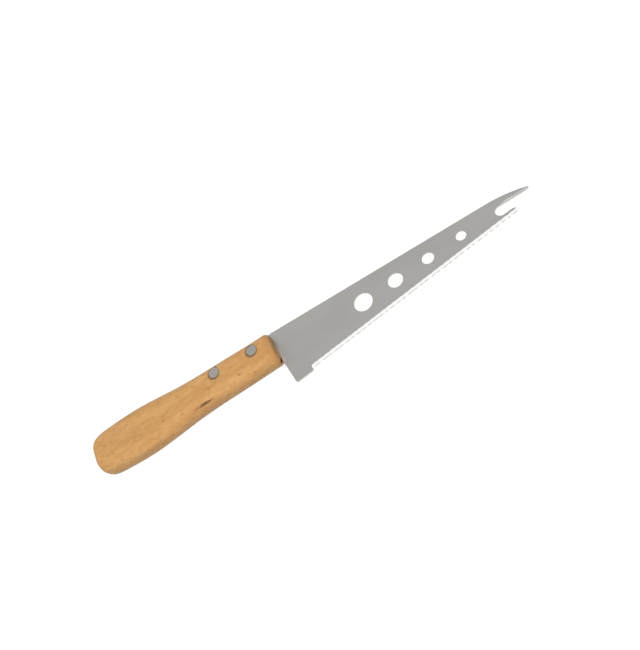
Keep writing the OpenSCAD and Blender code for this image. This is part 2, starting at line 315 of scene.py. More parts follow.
def carve(piece, cutters, name):
    """Takes the cutters off the piece with exact booleans and makes the result its mesh."""
    for cutter in cutters:
        cut = piece.modifiers.new(cutter.name, "BOOLEAN")
        cut.operation, cut.solver, cut.object = "DIFFERENCE", "EXACT", cutter
    evaluated = piece.evaluated_get(bpy.context.evaluated_depsgraph_get())
    mesh = bpy.data.meshes.new_from_object(evaluated)
    mesh.name = name
    piece.modifiers.clear()
    piece.data = mesh
    for cutter in cutters:
        bpy.data.objects.remove(cutter)
    return piece


def face_normals(mesh):
    """Every face's normal, as an array."""
    normals = np.zeros(len(mesh.polygons) * 3)
    mesh.polygons.foreach_get("normal", normals)
    return normals.reshape(-1, 3)


def face_centres(mesh):
    """Every face's centre in the knife's own axes, in millimetres, as an array."""
    centres = np.zeros(len(mesh.polygons) * 3)
    mesh.polygons.foreach_get("center", centres)
    return centres.reshape(-1, 3) / MM - ORIGIN


def kerf_outline():
    """The saw kerf from the side: deep at the front, open through the belly at its mouth, and
    running out along the arc of the saw behind the tang."""
    over, saw_steps = 3.0, 47
    depth = -TANG_DEPTH - KERF_BOTTOM_CLEAR
    centre_y = SAW_R + depth
    last = math.acos((centre_y - over) / SAW_R)
    turn = -np.pi / 2 - np.linspace(0, last, saw_steps + 1)
    run_out = np.column_stack([-SAW_BACK + SAW_R * np.cos(turn), centre_y + SAW_R * np.sin(turn)])
    front = [[over, over], [over, -BLADE_DEPTH], [-KERF_MOUTH, -BLADE_DEPTH], [-KERF_MOUTH, depth]]
    return np.concatenate([front, run_out])[::-1]


def side_drop(points):
    """How far the handle's round long edge has fallen below its flat side at each point: a quarter
    round of radius SIDE_R, which starts SIDE_R below the back."""
    past = np.clip(points[:, 1] - (back_y(points[:, 0]) - SIDE_R), 0, SIDE_R)
    return np.sqrt(SIDE_R ** 2 - past ** 2) - SIDE_R


def rivet_bore(i):
    """A spool that cuts a rivet's bore and the counterbores of its two heads."""
    over = 1.0
    wide, narrow = HEAD_D / 2 + HEAD_GAP, SOCKET_D / 2 + RIVET_CLEAR
    step = HALF_SIDE - HEAD_T
    profile = [(0, HALF_SIDE + over), (wide, HALF_SIDE + over), (wide, step), (narrow, step),
               (narrow, -step), (wide, -step), (wide, -HALF_SIDE - over), (0, -HALF_SIDE - over)]
    return lathe(f"bore_{i}", profile, (RIVET_X[i] + BORE_SHIFT[0], RIVET_Y + BORE_SHIFT[1]))


def make_handle():
    """The beech handle: the loft of its sections, with the kerf and the rivets' bores cut out.

    The sections stand closer together towards both ends, as the cosine and the sine of even
    steps, and the last one stays just short of the end, where it would have no size.
    """
    front_steps, body_rings, butt_steps, last_share = 8, 110, 30, 0.9999
    front = FRONT_R * (np.cos(np.linspace(0, np.pi / 2, front_steps + 1)[:-1]) - 1)
    body = np.linspace(-FRONT_R, BUTT_LEN - HANDLE_LEN, body_rings)
    butt_turn = np.linspace(0, np.pi / 2, butt_steps + 1)[1:]
    butt = BUTT_LEN - HANDLE_LEN - BUTT_LEN * last_share * np.sin(butt_turn)
    rings = handle_sections(np.concatenate([front, body, butt]))
    rows, columns = rings.shape[:2]
    caps = [list(range(columns)), list(range((rows - 1) * columns, rows * columns))[::-1]]
    faces = [f[::-1] for f in grid_faces(rows, columns, closed=True)] + caps
    handle = new_piece("beech_handle", rings.reshape(-1, 3), faces)
    kerf = prism("kerf", kerf_outline(), -HALF_T - KERF_CLEAR, HALF_T + KERF_CLEAR)
    carve(handle, [kerf, rivet_bore(0), rivet_bore(1)], "beech_handle")
    handle.data.polygons.foreach_set("use_smooth", np.ones(len(handle.data.polygons), bool))
    handle.data.set_sharp_from_angle(angle=math.radians(WOOD_SHARP))
    return handle


# The blade

def arc(centre, radius, first, last, steps):
    """Points on a circle from one angle to another, both in degrees."""
    turn = np.radians(np.linspace(first, last, steps + 1))
    return np.column_stack([centre[0] + radius * np.cos(turn), centre[1] + radius * np.sin(turn)])


def blade_outline():
    """The stamped blank from above, anticlockwise from the heel: edge, prongs and slot, spine, tang."""
    slope, heel_slope = math.tan(EDGE_ANGLE), math.tan(HEEL_LEAN)
    foot_y = (slope * (HEEL_STEP - heel_slope * TANG_DEPTH) - BLADE_DEPTH) / (1 + slope * heel_slope)
    foot = np.array([HEEL_STEP - (foot_y + TANG_DEPTH) * heel_slope, foot_y])
    corner = math.pi / 2 + HEEL_LEAN - EDGE_ANGLE
    touch = HEEL_R / math.tan(corner / 2)
    along = np.array([math.cos(EDGE_ANGLE), math.sin(EDGE_ANGLE)])
    heel_centre = foot + touch * along + HEEL_R * np.array([-along[1], along[0]])
    heel_from, heel_to = 180 + math.degrees(HEEL_LEAN), 270 + math.degrees(EDGE_ANGLE)
    heel = arc(heel_centre, HEEL_R, heel_from, heel_to, steps=12)

    prong_x = BLADE_LEN - PRONG_STEP
    slot_x, slot_y = BLADE_LEN - SLOT_LEN + SLOT_W / 2, -SLOT_DROP - SLOT_W / 2
    slot_low, slot_top = slot_y - SLOT_W / 2, slot_y + SLOT_W / 2
    tip_steps, tang_steps = 23, 19
    tip_x = np.linspace(slot_x, BLADE_LEN, tip_steps + 1)[1:]
    sweep = TIP_SWEEP * np.clip(1 - (BLADE_LEN - tip_x) / TIP_SWEEP_LEN, 0, 1) ** 2
    tip_low = slot_top + (tip_x - slot_x) * math.tan(SLOT_FLARE) + sweep
    crest = np.array([prong_x - PRONG_R, slot_low + PRONG_RISE])
    prong = arc(crest - [0, PRONG_R], PRONG_R, 0, 90, steps=18)
    fork = np.concatenate([
        [[prong_x, blank_y(prong_x)]],
        prong[prong[:, 1] > blank_y(prong[:, 0]) + 2 * EDGE_BREAK],
        arc((slot_x, slot_y), SLOT_W / 2, SLOT_ROUND_FROM, 90, steps=24),
        np.column_stack([tip_x, tip_low])])
    nose_turn = math.degrees(math.asin(NOSE_LEN / NOSE_R))
    nose = arc((BLADE_LEN - NOSE_LEN, -NOSE_R), NOSE_R, 90 - nose_turn, 90, steps=24)

    tang_x = np.linspace(0, -TANG_LEN, tang_steps + 1)
    tang_back = np.column_stack([tang_x, back_y(tang_x) - TANG_SET_IN])
    centre_y, radius = SAW_R - TANG_DEPTH - KERF_BOTTOM_CLEAR, SAW_R - KERF_BOTTOM_CLEAR
    first = 270 - math.degrees(math.asin((TANG_LEN - SAW_BACK) / radius))
    tang_low = arc((-SAW_BACK, centre_y), radius, first, 270, steps=16)
    rear = [[HEEL_STEP, -TANG_DEPTH]]
    return np.concatenate([heel, fork, nose, [[0, 0]], tang_back, tang_low, rear])


def blade_holes():
    """The four lightening holes, on a line that halves the blade's taper, and the two for the rivets:
    a list of outlines, each clockwise."""
    half = EDGE_ANGLE / 2
    first = np.array([FIRST_HOLE_X, -FIRST_HOLE_DROP])
    along = HOLE_PITCH * np.array([math.cos(half), math.sin(half)])
    holes = [arc(first + i * along, d / 2, 360, 0, steps=72)[:-1] for i, d in enumerate(HOLE_D)]
    rivet_hole_r = SOCKET_D / 2 + RIVET_CLEAR
    return holes + [arc((x, RIVET_Y), rivet_hole_r, 360, 0, steps=32)[:-1] for x in RIVET_X]


def inset(path, depth):
    """A closed path moved to its left by a depth, one for all or one a corner: each corner goes
    along the sum of its two sides' normals."""
    ahead = np.roll(path, -1, 0) - path
    ahead /= np.linalg.norm(ahead, axis=1)[:, None]
    left = np.column_stack([-ahead[:, 1], ahead[:, 0]])
    before = np.roll(left, 1, 0)
    return path + (depth / (1 + (left * before).sum(1)))[:, None] * (left + before)


def edge_break(path):
    """How far the upper edge is broken back at each corner of a path: by EDGE_BREAK, and on the long
    prong's lower side by a bevel that grows to TIP_BEVEL_W and narrows to half of that at the point."""
    x, y = path.T
    beside_slot = (x > BLADE_LEN - SLOT_LEN + SLOT_W / 2) & (np.abs(y + SLOT_DROP) < TIP_BEVEL_BAND)
    growing = np.clip((x - TIP_BEVEL_X) / TIP_BEVEL_RUN, 0, 1)
    narrowing = np.clip((BLADE_LEN + TIP_BEVEL_RUN / 2 - x) / TIP_BEVEL_RUN, 0, 1)
    return EDGE_BREAK + TIP_BEVEL_W * (growing * narrowing) * beside_slot


def sheet_blank():
    """The stamped sheet: each outline carried round a wall whose two edges are broken, and a flat
    face above and below, in triangles that are turned outwards."""
    points, faces, low_rims, high_rims, start = [], [], [], [], 0
    for path in [blade_outline()] + blade_holes():
        n = len(path)
        wide = edge_break(path)
        deep = (EDGE_BREAK + wide) / 2
        rings = [np.column_stack([inset(path, depth), np.broadcast_to(z, n)]) for depth, z in (
            (EDGE_BREAK, -HALF_T), (0, EDGE_BREAK - HALF_T), (0, HALF_T - deep), (wide, HALF_T))]
        points += rings
        faces += (np.array(grid_faces(len(rings), n, closed=True)) + start).tolist()
        low_rims.append((start, rings[0]))
        high_rims.append((start + n * (len(rings) - 1), rings[-1]))
        start += n * len(rings)
    for rims, up in ((low_rims, False), (high_rims, True)):
        index = np.concatenate([np.arange(first, first + len(ring)) for first, ring in rims])
        flat = np.array(tessellate_polygon([[Vector((*p[:2], 0)) for p in ring] for _, ring in rims]))
        corners = np.concatenate([ring[:, :2] for _, ring in rims])[flat]
        (bx, by), (cx, cy) = (corners[:, 1] - corners[:, 0]).T, (corners[:, 2] - corners[:, 0]).T
        anticlockwise = bx * cy - by * cx > 0
        flat = np.where((anticlockwise == up)[:, None], flat, flat[:, ::-1])
        faces += index[flat].tolist()
    return new_piece("steel_blade", np.concatenate(points), faces)


def ground_height(s, y, width, fluted):
    """Height of the ground surface over the middle of the steel.

    s runs along the edge from where the grinding starts, and y up into the steel. The plane
    rises from the edge to the face over the bevel's width. A flute sinks by FLUTE_DEPTH along a
    parabola in each pitch, and honing has left the ridges between the flutes about HONE_RISE
    proud of the edge, and half of that between the ridges, by a hand's uneven stroke that grows
    lighter towards the tip. Before the start, the wheel's own radius lifts the surface out, and
    it leaves a shallow groove across the start.
    """
    across = 2 * np.mod(s / FLUTE_PITCH, 1) - 1
    pressure = (HONE_STEADY + HONE_SWAY * np.sin(HONE_SWAY_RATE * s)
                + HONE_SHAKE * np.sin(HONE_SHAKE_RATE * s))
    stroke = pressure * (1 - HONE_FADE * s / BLADE_LEN)
    begun = np.clip((s - HONE_START) / HONE_BUILD_UP, 0, 1)
    proud = HONE_RISE * stroke * (0.5 + 0.5 * across ** 2) * fluted * begun
    plane = proud + (HALF_T - proud) * y / width
    steep = np.sqrt(1 + (HALF_T / width) ** 2)
    sink = FLUTE_DEPTH * (1 - across ** 2) * fluted * (s > 0)
    wheel = RUN_OUT_R - np.sqrt(np.clip(RUN_OUT_R ** 2 - s ** 2, 0, None))
    lift = np.where(s < 0, wheel, 0) - RUN_OUT_DEPTH * np.clip(1 - np.abs(s) / RUN_OUT_GROOVE, 0, 1)
    return plane + (lift - sink) * steep


def grind_cutter(fluted, up):
    """The block that the grinding takes away: its near side is the ground surface.

    It ends at a height of top over the middle of the steel, beyond the short prong, outside the
    edge and inside over the face. Below the edge the fluted one steps down by outside over a
    width of step, and at the edge it dips by overlap, so that it cuts the edge clean.
    """
    top, beyond, outside, inside, step, overlap = 6.0, 3.0, 1.3, 4.0, 0.01, 0.02
    run_out_steps, flute_steps = 12, 24
    length = (BLADE_LEN - PRONG_STEP - HEEL_FLAT) / math.cos(EDGE_ANGLE)
    s = np.concatenate([
        np.linspace(-RUN_OUT_R, 0, run_out_steps + 1)[:-1],
        np.arange(0, length + beyond, FLUTE_PITCH / flute_steps)])
    if fluted:
        y = np.array([-outside, -step, 0, HONE_W, inside])
        width = BEVEL_HEEL_W + (BEVEL_TIP_W - BEVEL_HEEL_W) * s / length
    else:
        y = np.array([-outside, inside])
        width = np.full_like(s, BACK_BEVEL_W)
    s_grid, y_grid = np.meshgrid(s, y, indexing="ij")
    low = ground_height(s_grid, y_grid, width[:, None], fluted)
    if fluted:
        low = np.where((y_grid == 0) & (s_grid >= 0), np.minimum(low, -overlap), low)
        low = np.where((y_grid < 0) & (s_grid >= 0), -outside, low)
    cos, sin = math.cos(EDGE_ANGLE), math.sin(EDGE_ANGLE)
    x = HEEL_FLAT + s_grid * cos - y_grid * sin
    side = edge_y(HEEL_FLAT) + s_grid * sin + y_grid * cos
    layers = [np.stack([x, side, z], -1).reshape(-1, 3) for z in (low, np.full_like(low, top))]
    rows, columns = s_grid.shape
    n = rows * columns
    quads = np.array(grid_faces(rows, columns))
    rim = np.concatenate([
        np.arange(rows - 1) * columns, (rows - 1) * columns + np.arange(columns - 1),
        np.arange(rows - 1, 0, -1) * columns + columns - 1, np.arange(columns - 1, 0, -1)])
    after = np.roll(rim, -1)
    walls = np.stack([rim, after, after + n, rim + n], -1)
    points = np.concatenate(layers)
    faces = np.concatenate([quads, quads[:, ::-1] + n, walls])
    if not up:
        points[:, 2] *= -1
        faces = faces[:, ::-1]
    return new_piece("fluted_grind" if fluted else "plain_grind", points, faces.tolist())


def make_blade():
    """The steel blade: the stamped sheet less what both grinds take off its edge."""
    grinds = [grind_cutter(fluted=False, up=False), grind_cutter(fluted=True, up=True)]
    blade = carve(sheet_blank(), grinds, "steel_blade")
    mesh = blade.data
    mesh.set_sharp_from_angle(angle=math.radians(STEEL_SHARP))
    level = 0.99999
    flat = np.abs(face_normals(mesh)[:, 2]) > level
    mesh.polygons.foreach_set("use_smooth", ~flat)
    return blade


# The rivets

def rivet_half(name, i, profile, up):
    """One half of a rivet: its profile turned about the rivet's axis, with the head's face bent
    down where the handle's side turns over. A lower half is the same, mirrored in the steel."""
    def lift(points):
        head = points[:, 2] > HALF_SIDE - HEAD_T / 2
        return np.where(head, side_drop(points), 0)
    half = lathe(name, profile, (RIVET_X[i], RIVET_Y), lift=lift)
    if not up:
        corners = np.zeros(len(half.data.vertices) * 3)
        half.data.vertices.foreach_get("co", corners)
        corners = corners.reshape(-1, 3)
        corners[:, 2] = 2 * ORIGIN[2] * MM - corners[:, 2]
        half.data.vertices.foreach_set("co", corners.ravel())
        half.data.flip_normals()
    half.data.set_sharp_from_angle(angle=math.radians(RIVET_SHARP))
    return half


def head_profile():
    """The head's face from its middle out to its broken edge, as (radius, z) rows. The edge's
    middle row lies out at 0.3 of the break, as on a round."""
    first_ring, rings, bulge = 0.4, 8, 0.3
    radius = HEAD_D / 2
    face = [(r, HALF_SIDE) for r in np.linspace(first_ring, radius - HEAD_BREAK, rings)]
    rounding = (radius - HEAD_BREAK * bulge, HALF_SIDE - HEAD_BREAK * bulge)
    return [(0, HALF_SIDE)] + face + [rounding, (radius, HALF_SIDE - HEAD_BREAK)]


def make_rivets():
    """Both halves of both rivets, as a dict from CAD node to piece."""
    under = HALF_SIDE - HEAD_T
    foot = -under + SOCKET_GAP
    bore = PIN_D / 2 + PIN_CLEAR
    socket = head_profile() + [(HEAD_D / 2, under), (SOCKET_D / 2, under), (SOCKET_D / 2, foot),
                               (bore, foot), (bore, under), (0, under)]
    pin = head_profile() + [(HEAD_D / 2, under), (PIN_D / 2, under), (PIN_D / 2, PIN_SHORT - under),
                            (0, PIN_SHORT - under)]
    halves = {}
    for i, where in enumerate(("front", "rear")):
        halves[f"{where}_rivet_socket"] = rivet_half(f"{where}_socket_half", i, socket, True)
        halves[f"{where}_rivet_pin"] = rivet_half(f"{where}_pin_half", i, pin, False)
    return halves


# Materials

def material(name):
    """A new node material, with its tree and its Principled shader."""
    made = bpy.data.materials.new(name)
    made.use_nodes = True
    tree = made.node_tree
    return made, tree, tree.nodes["Principled BSDF"]


def add(tree, kind, sockets=None, **settings):
    """A node of that kind; settings are its properties, and sockets are values or links by name."""
    node = tree.nodes.new(kind)
    for key, value in settings.items():
        setattr(node, key, value)
    for key, value in (sockets or {}).items():
        if isinstance(value, bpy.types.NodeSocket):
            tree.links.new(value, node.inputs[key])
        else:
            node.inputs[key].default_value = value
    return node


def math_node(tree, operation, *values):
    """The result of one Math node on values or sockets."""
    return add(tree, "ShaderNodeMath", dict(enumerate(values)), operation=operation).outputs[0]


def stretched(tree, scale, offset=(0, 0, 0)):
    """Object coordinates, scaled so that one unit is 1/scale millimetres along each axis."""
    here = add(tree, "ShaderNodeTexCoord").outputs["Object"]
    return add(tree, "ShaderNodeMapping", {
        "Vector": here, "Scale": [s / MM for s in scale], "Location": offset}).outputs[0]


def noise(tree, where, detail, roughness=0.5, distortion=0.0):
    """The value of a noise, about 0.5 on average."""
    return add(tree, "ShaderNodeTexNoise", {
        "Vector": where, "Scale": 1.0, "Detail": detail, "Roughness": roughness,
        "Distortion": distortion}).outputs["Fac"]


def ramp(tree, value, low, high, to_low=0.0, to_high=1.0):
    """value between low and high, spread smoothly over to_low to to_high."""
    return add(tree, "ShaderNodeMapRange", {
        "Value": value, "From Min": low, "From Max": high, "To Min": to_low, "To Max": to_high},
        interpolation_type="SMOOTHSTEP").outputs[0]


def scaled(tree, value, share):
    """A value times a share."""
    return math_node(tree, "MULTIPLY", value, share)


def blend(tree, share, first, second):
    """Two colours, sockets or (red, green, blue), mixed by a share: all first at 0, all second at 1."""
    first, second = (c if isinstance(c, bpy.types.NodeSocket) else (*c, 1) for c in (first, second))
    mix = add(tree, "ShaderNodeMix", data_type="RGBA", clamp_factor=True)
    for socket, value in zip((mix.inputs[0], mix.inputs[6], mix.inputs[7]), (share, first, second)):
        if isinstance(value, bpy.types.NodeSocket):
            tree.links.new(value, socket)
        else:
            socket.default_value = value
    return mix.outputs[2]


def bump(tree, height, distance, below=None):
    """A bump of that depth in millimetres, on top of another's normal where given."""
    sockets = {"Height": height, "Distance": distance * MM, "Strength": 1.0}
    if below is not None:
        sockets["Normal"] = below
    return add(tree, "ShaderNodeBump", sockets).outputs[0]


def ellipsoid_mark(tree, centre, radii, turn=0.0, soft=0.4):
    """1 in the middle of a ragged ellipsoid at a place on the knife, falling to 0 about its rim.

    The distance from the centre, in radii, has a noise of up to raggedness added, and the mark ends
    where that sum passes rim.
    """
    raggedness, rim = 1.3, 1.25
    here = add(tree, "ShaderNodeTexCoord").outputs["Object"]
    at = add(tree, "ShaderNodeMapping", {
        "Vector": here, "Location": place(centre).tolist(), "Rotation": (0, 0, turn),
        "Scale": [r * MM for r in radii]}, vector_type="TEXTURE").outputs[0]
    wobble = noise(tree, stretched(tree, (0.4, 1.7, 1.7)), detail=3)
    far = add(tree, "ShaderNodeVectorMath", {0: at}, operation="LENGTH").outputs["Value"]
    ragged = math_node(tree, "ADD", far, scaled(tree, wobble, raggedness))
    return ramp(tree, ragged, rim + soft / 2, rim - soft / 2)


def along_axis(tree, direction):
    """How far a place lies along a direction of the knife's own axes, in millimetres from their zero."""
    here = add(tree, "ShaderNodeTexCoord").outputs["Object"]
    origin = place((0, 0, 0)).tolist()
    offset = add(tree, "ShaderNodeVectorMath", {0: here, 1: origin}, operation="SUBTRACT").outputs[0]
    per_mm = [c / MM for c in direction]
    along = add(tree, "ShaderNodeVectorMath", {0: offset, 1: per_mm}, operation="DOT_PRODUCT")
    return along.outputs["Value"]


def past_front(tree):
    """How far a place lies past the handle's leaning front face, in millimetres."""
    along = along_axis(tree, (1, math.tan(FRONT_LEAN), 0))
    return math_node(tree, "ADD", along, FRONT_H / 2 * math.tan(FRONT_LEAN))


def flecks(tree, scale, rarity, largest, soft, offset=(0, 0, 0)):
    """Scattered spindle-shaped marks, 1 inside and 0 outside, at most one in each cell of the pattern.

    Each cell draws a chance: below rarity it has no mark, and above it one that grows to largest.
    """
    cells = add(tree, "ShaderNodeTexVoronoi", {
        "Vector": stretched(tree, scale, offset=offset), "Scale": 1.0, "Randomness": 1.0})
    chance = add(tree, "ShaderNodeSeparateColor", {0: cells.outputs["Color"]}).outputs[0]
    size = ramp(tree, chance, rarity, 1.0, 0.0, largest)
    return ramp(tree, math_node(tree, "SUBTRACT", size, cells.outputs["Distance"]), -soft / 2, soft)


# Painted light on the steel by the handle's front: a brighter tone over the shade and dark reflection that
# the handle's front gives there
PAINTED_LIGHT_BY_HANDLE = (0.68, 0.64, 0.58)

# Colours of the beech, as linear red, green and blue
DEEP_BEECH = (0.575, 0.293, 0.089)
PALE_BEECH = (0.70, 0.385, 0.137)
GROWTH_LINE = (0.50, 0.24, 0.070)
DARK_MOTTLE = (0.52, 0.255, 0.078)
PALE_MOTTLE = (0.80, 0.47, 0.19)
RAY_FLECK = (0.30, 0.115, 0.032)
SMALL_FLECK = (0.36, 0.155, 0.045)
PORE = (0.36, 0.165, 0.05)
DARK_STREAK = (0.13, 0.035, 0.012)
PIN_KNOT = (0.26, 0.11, 0.03)
# Painted shade round the rivets, with some oxide stain
RIVET_SHADE_AND_STAIN = (0.17, 0.06, 0.02)
# Painted shade where the handle's front rounds over
FRONT_ROUND_SHADE = (0.46, 0.215, 0.070)
# The front face's end grain: its own darker tone, deepened by painted shade of the less lit face
END_GRAIN_SHADED = (0.42, 0.21, 0.080)
# Glue by the steel, darkened further by painted contact shade
GLUE_AND_CONTACT_SHADE = (0.20, 0.085, 0.034)
# Painted shadow in the kerf's mouth at the front's lower corner
KERF_MOUTH_SHADOW = (0.022, 0.010, 0.005)


def beech_ground(tree):
    """Colour of the clear wood: broad drift, growth lines along the grain and a fine mottle."""
    drift = noise(tree, stretched(tree, (0.02, 0.10, 0.10)), detail=3)
    colour = blend(tree, ramp(tree, drift, 0.3, 0.7), DEEP_BEECH, PALE_BEECH)
    lines = noise(tree, stretched(tree, (0.014, 0.40, 0.25), offset=(3, 1, 7)), detail=2, distortion=0.8)
    colour = blend(tree, ramp(tree, lines, 0.42, 0.62, 0, 0.22), colour, GROWTH_LINE)
    mottle = noise(tree, stretched(tree, (0.22, 0.50, 0.50), offset=(5, 2, 1)), detail=4, roughness=0.6)
    colour = blend(tree, ramp(tree, mottle, 0.46, 0.70, 0, 0.36), colour, DARK_MOTTLE)
    return blend(tree, ramp(tree, mottle, 0.50, 0.32, 0, 0.30), colour, PALE_MOTTLE)


def beech_marks(tree, colour):
    """The two marks on the upper side: a dark streak by the belly and a pin knot behind the front."""
    grain = math.radians(4.5)
    streak = ellipsoid_mark(tree, (-47.1, -19.95, 4.6), (9.8, 1.15, 2.4), turn=grain, soft=0.35)
    knot = ellipsoid_mark(tree, (-22.3, -16.3, 7.0), (1.8, 1.2, 1.4))
    colour = blend(tree, scaled(tree, streak, 0.85), colour, DARK_STREAK)
    return blend(tree, scaled(tree, knot, 0.55), colour, PIN_KNOT)


def rivet_shade_and_stain(tree, colour):
    """Painted shade darkens the wood in a ring round each rivet, more below it where the head's gap lies
    in shadow, with some oxide stain from the metal.
    """
    shift_x, shift_y, ring_shade_r, clear_r, strength = -0.3, -0.6, 3.3, 4.1, 0.7
    here = add(tree, "ShaderNodeTexCoord").outputs["Object"]
    for x in RIVET_X:
        spot = place((x + shift_x, RIVET_Y + shift_y, HALF_SIDE)).tolist()
        far = add(tree, "ShaderNodeVectorMath", {0: here, 1: spot}, operation="DISTANCE").outputs["Value"]
        # Painted shade: the ring round the rivet, its centre shifted down and back
        ring_shade = ramp(tree, far, clear_r * MM, ring_shade_r * MM, 0, strength)
        colour = blend(tree, ring_shade, colour, RIVET_SHADE_AND_STAIN)
    return colour


def beech_front(tree, colour):
    """The handle's front: painted shade where it rounds over, end grain with painted shade on its face,
    glue and painted contact shade by the steel, and a painted shadow in the kerf's mouth.
    Distances are in millimetres past the front face, below zero in the wood, or from the steel."""
    past_face = past_front(tree)
    end_grain = ramp(tree, past_face, -1.3, -0.05)
    # Painted shade over the last millimetres before the front face, where the wood rounds over
    colour = blend(tree, ramp(tree, past_face, -5.0, -0.8, 0, 0.45), colour, FRONT_ROUND_SHADE)
    # End grain's own darker tone, with painted shade of the front face
    colour = blend(tree, scaled(tree, end_grain, 0.3), colour, END_GRAIN_SHADED)
    # A dark seam by the steel: glue, and painted contact shade where the wood meets the steel
    off_steel = math_node(tree, "ABSOLUTE", along_axis(tree, (0, 0, 1)))
    seam = math_node(tree, "MULTIPLY", end_grain, ramp(tree, off_steel, 1.3, 0.7, 0, 0.35))
    colour = blend(tree, seam, colour, GLUE_AND_CONTACT_SHADE)
    # Painted shadow: a near-black patch where the kerf's mouth lies in shade
    mouth_shadow = ellipsoid_mark(tree, (0.5, -18.6, 0.9), (0.9, 2.2, 1.1), soft=0.3)
    return blend(tree, scaled(tree, mouth_shadow, 0.95), colour, KERF_MOUTH_SHADOW)


def beech():
    """Lacquered beech: pale orange-brown and mottled, with ray flecks and fine pores along the grain."""
    made, tree, shader = material("lacquered_beech")
    colour = beech_ground(tree)
    fleck = flecks(tree, (0.26, 0.95, 0.95), rarity=0.35, largest=0.34, soft=0.09)
    colour = blend(tree, scaled(tree, fleck, 0.42), colour, RAY_FLECK)
    small = flecks(tree, (0.55, 2.1, 2.1), rarity=0.2, largest=0.36, soft=0.12, offset=(11, 4, 2))
    colour = blend(tree, scaled(tree, small, 0.26), colour, SMALL_FLECK)
    pores = noise(tree, stretched(tree, (0.16, 4.0, 4.0)), detail=4, roughness=0.6)
    open_pores = ramp(tree, pores, 0.50, 0.72)
    colour = blend(tree, scaled(tree, open_pores, 0.20), colour, PORE)
    colour = beech_front(tree, rivet_shade_and_stain(tree, beech_marks(tree, colour)))
    tree.links.new(colour, shader.inputs["Base Color"])

    rough = ramp(tree, math_node(tree, "ADD", pores, fleck), 0.3, 1.6, 0.42, 0.62)
    tree.links.new(rough, shader.inputs["Roughness"])
    shader.inputs["Specular IOR Level"].default_value = 0.42
    shader.inputs["Coat Weight"].default_value = 0.06
    shader.inputs["Coat Roughness"].default_value = 0.22
    pore_depth, peel_depth = -0.03, 0.06
    relief = bump(tree, math_node(tree, "ADD", open_pores, fleck), pore_depth)
    peel = noise(tree, stretched(tree, (0.5, 0.7, 0.7)), detail=1)
    tree.links.new(bump(tree, peel, peel_depth, below=relief), shader.inputs["Normal"])
    return made


def shaded_gap_beech():
    """Raw beech inside the kerf and the bores, painted near-black: painted shade for these hardly lit
    hollows.
    """
    made, tree, shader = material("painted_shade_beech")
    gap_noise = noise(tree, stretched(tree, (1.2, 1.2, 1.2)), detail=3)
    # Painted shade: both colours are near-black, for hollows that are hardly lit
    colour = blend(tree, ramp(tree, gap_noise, 0.3, 0.7), (0.030, 0.013, 0.006), (0.060, 0.026, 0.011))
    tree.links.new(colour, shader.inputs["Base Color"])
    tree.links.new(ramp(tree, gap_noise, 0.3, 0.7, 0.75, 0.9), shader.inputs["Roughness"])
    tree.links.new(bump(tree, gap_noise, 0.05), shader.inputs["Normal"])
    return made


def dress_handle(handle):
    """Gives the handle its lacquered face, and raw wood painted near-black as shade inside the kerf and
    the rivets' bores.

    The kerf's walls face up or down beside the steel, its floor stands upright in the steel's
    plane inside the wood, and a bore's wall lies within a head's radius of a rivet's axis.
    """
    handle.data.materials.clear()
    for finish in (beech(), shaded_gap_beech()):
        handle.data.materials.append(finish)
    normals, centres = face_normals(handle.data), face_centres(handle.data)
    x, y, z = centres.T
    near, skin, level = 0.02, 0.3, 0.99
    wall = (np.abs(normals[:, 2]) > level) & (np.abs(z) < HALF_T + KERF_CLEAR + near)
    deep = (y < back_y(x) - skin) & (y > belly_y(x) + skin) & (x > -HANDLE_LEN + BUTT_LEN)
    floor_of_kerf = (np.abs(z) < near) & deep & (np.abs(normals[:, 2]) < near) & (x < -KERF_MOUTH + near)
    from_axis = np.min([np.hypot(x - rivet, y - RIVET_Y) for rivet in RIVET_X], axis=0)
    bore = (from_axis < HEAD_D / 2 + 2 * HEAD_GAP) & (np.abs(z) < HALF_SIDE - skin)
    handle.data.polygons.foreach_set("material_index", (wall | floor_of_kerf | bore).astype(int))


def steel(name, tone, rough, line_scale, depth, spread, painted_light=False):
    """Satin metal with grinding lines: tone is its colour, line_scale the lines' run, depth the lines'
    depth in millimetres and spread how far its colour wanders. With the flag set, painted light is laid on
    it in the corner at the handle's front: a brighter tone over the shade that the handle's front casts
    and mirrors there."""
    made, tree, shader = material(name)
    lines = noise(tree, stretched(tree, line_scale), detail=3, roughness=0.65)
    cloud = noise(tree, stretched(tree, (0.03, 0.05, 0.05)), detail=3)
    light = math_node(tree, "ADD", ramp(tree, lines, 0.3, 0.7, -spread, spread),
                      ramp(tree, cloud, 0.3, 0.7, -spread, spread))
    most = 3 * spread
    dark = [c * (1 - most) for c in tone]
    bright = [c * (1 + most) for c in tone]
    colour = blend(tree, ramp(tree, light, -most, most), dark, bright)
    if painted_light:
        # The painted light fades in and out down the handle's front and ends 2.7 mm before it
        height = along_axis(tree, (0, 1, 0))
        beside = math_node(tree, "MULTIPLY", ramp(tree, height, -6, -14), ramp(tree, height, -21, -18.5))
        near = ramp(tree, past_front(tree), 2.7, 0.5, 0, 0.95)
        colour = blend(tree, math_node(tree, "MULTIPLY", beside, near), colour, PAINTED_LIGHT_BY_HANDLE)
    tree.links.new(colour, shader.inputs["Base Color"])
    shader.inputs["Metallic"].default_value = 1.0
    tree.links.new(ramp(tree, cloud, 0.25, 0.75, rough - 0.04, rough + 0.04), shader.inputs["Roughness"])
    tree.links.new(bump(tree, lines, depth), shader.inputs["Normal"])
    return made


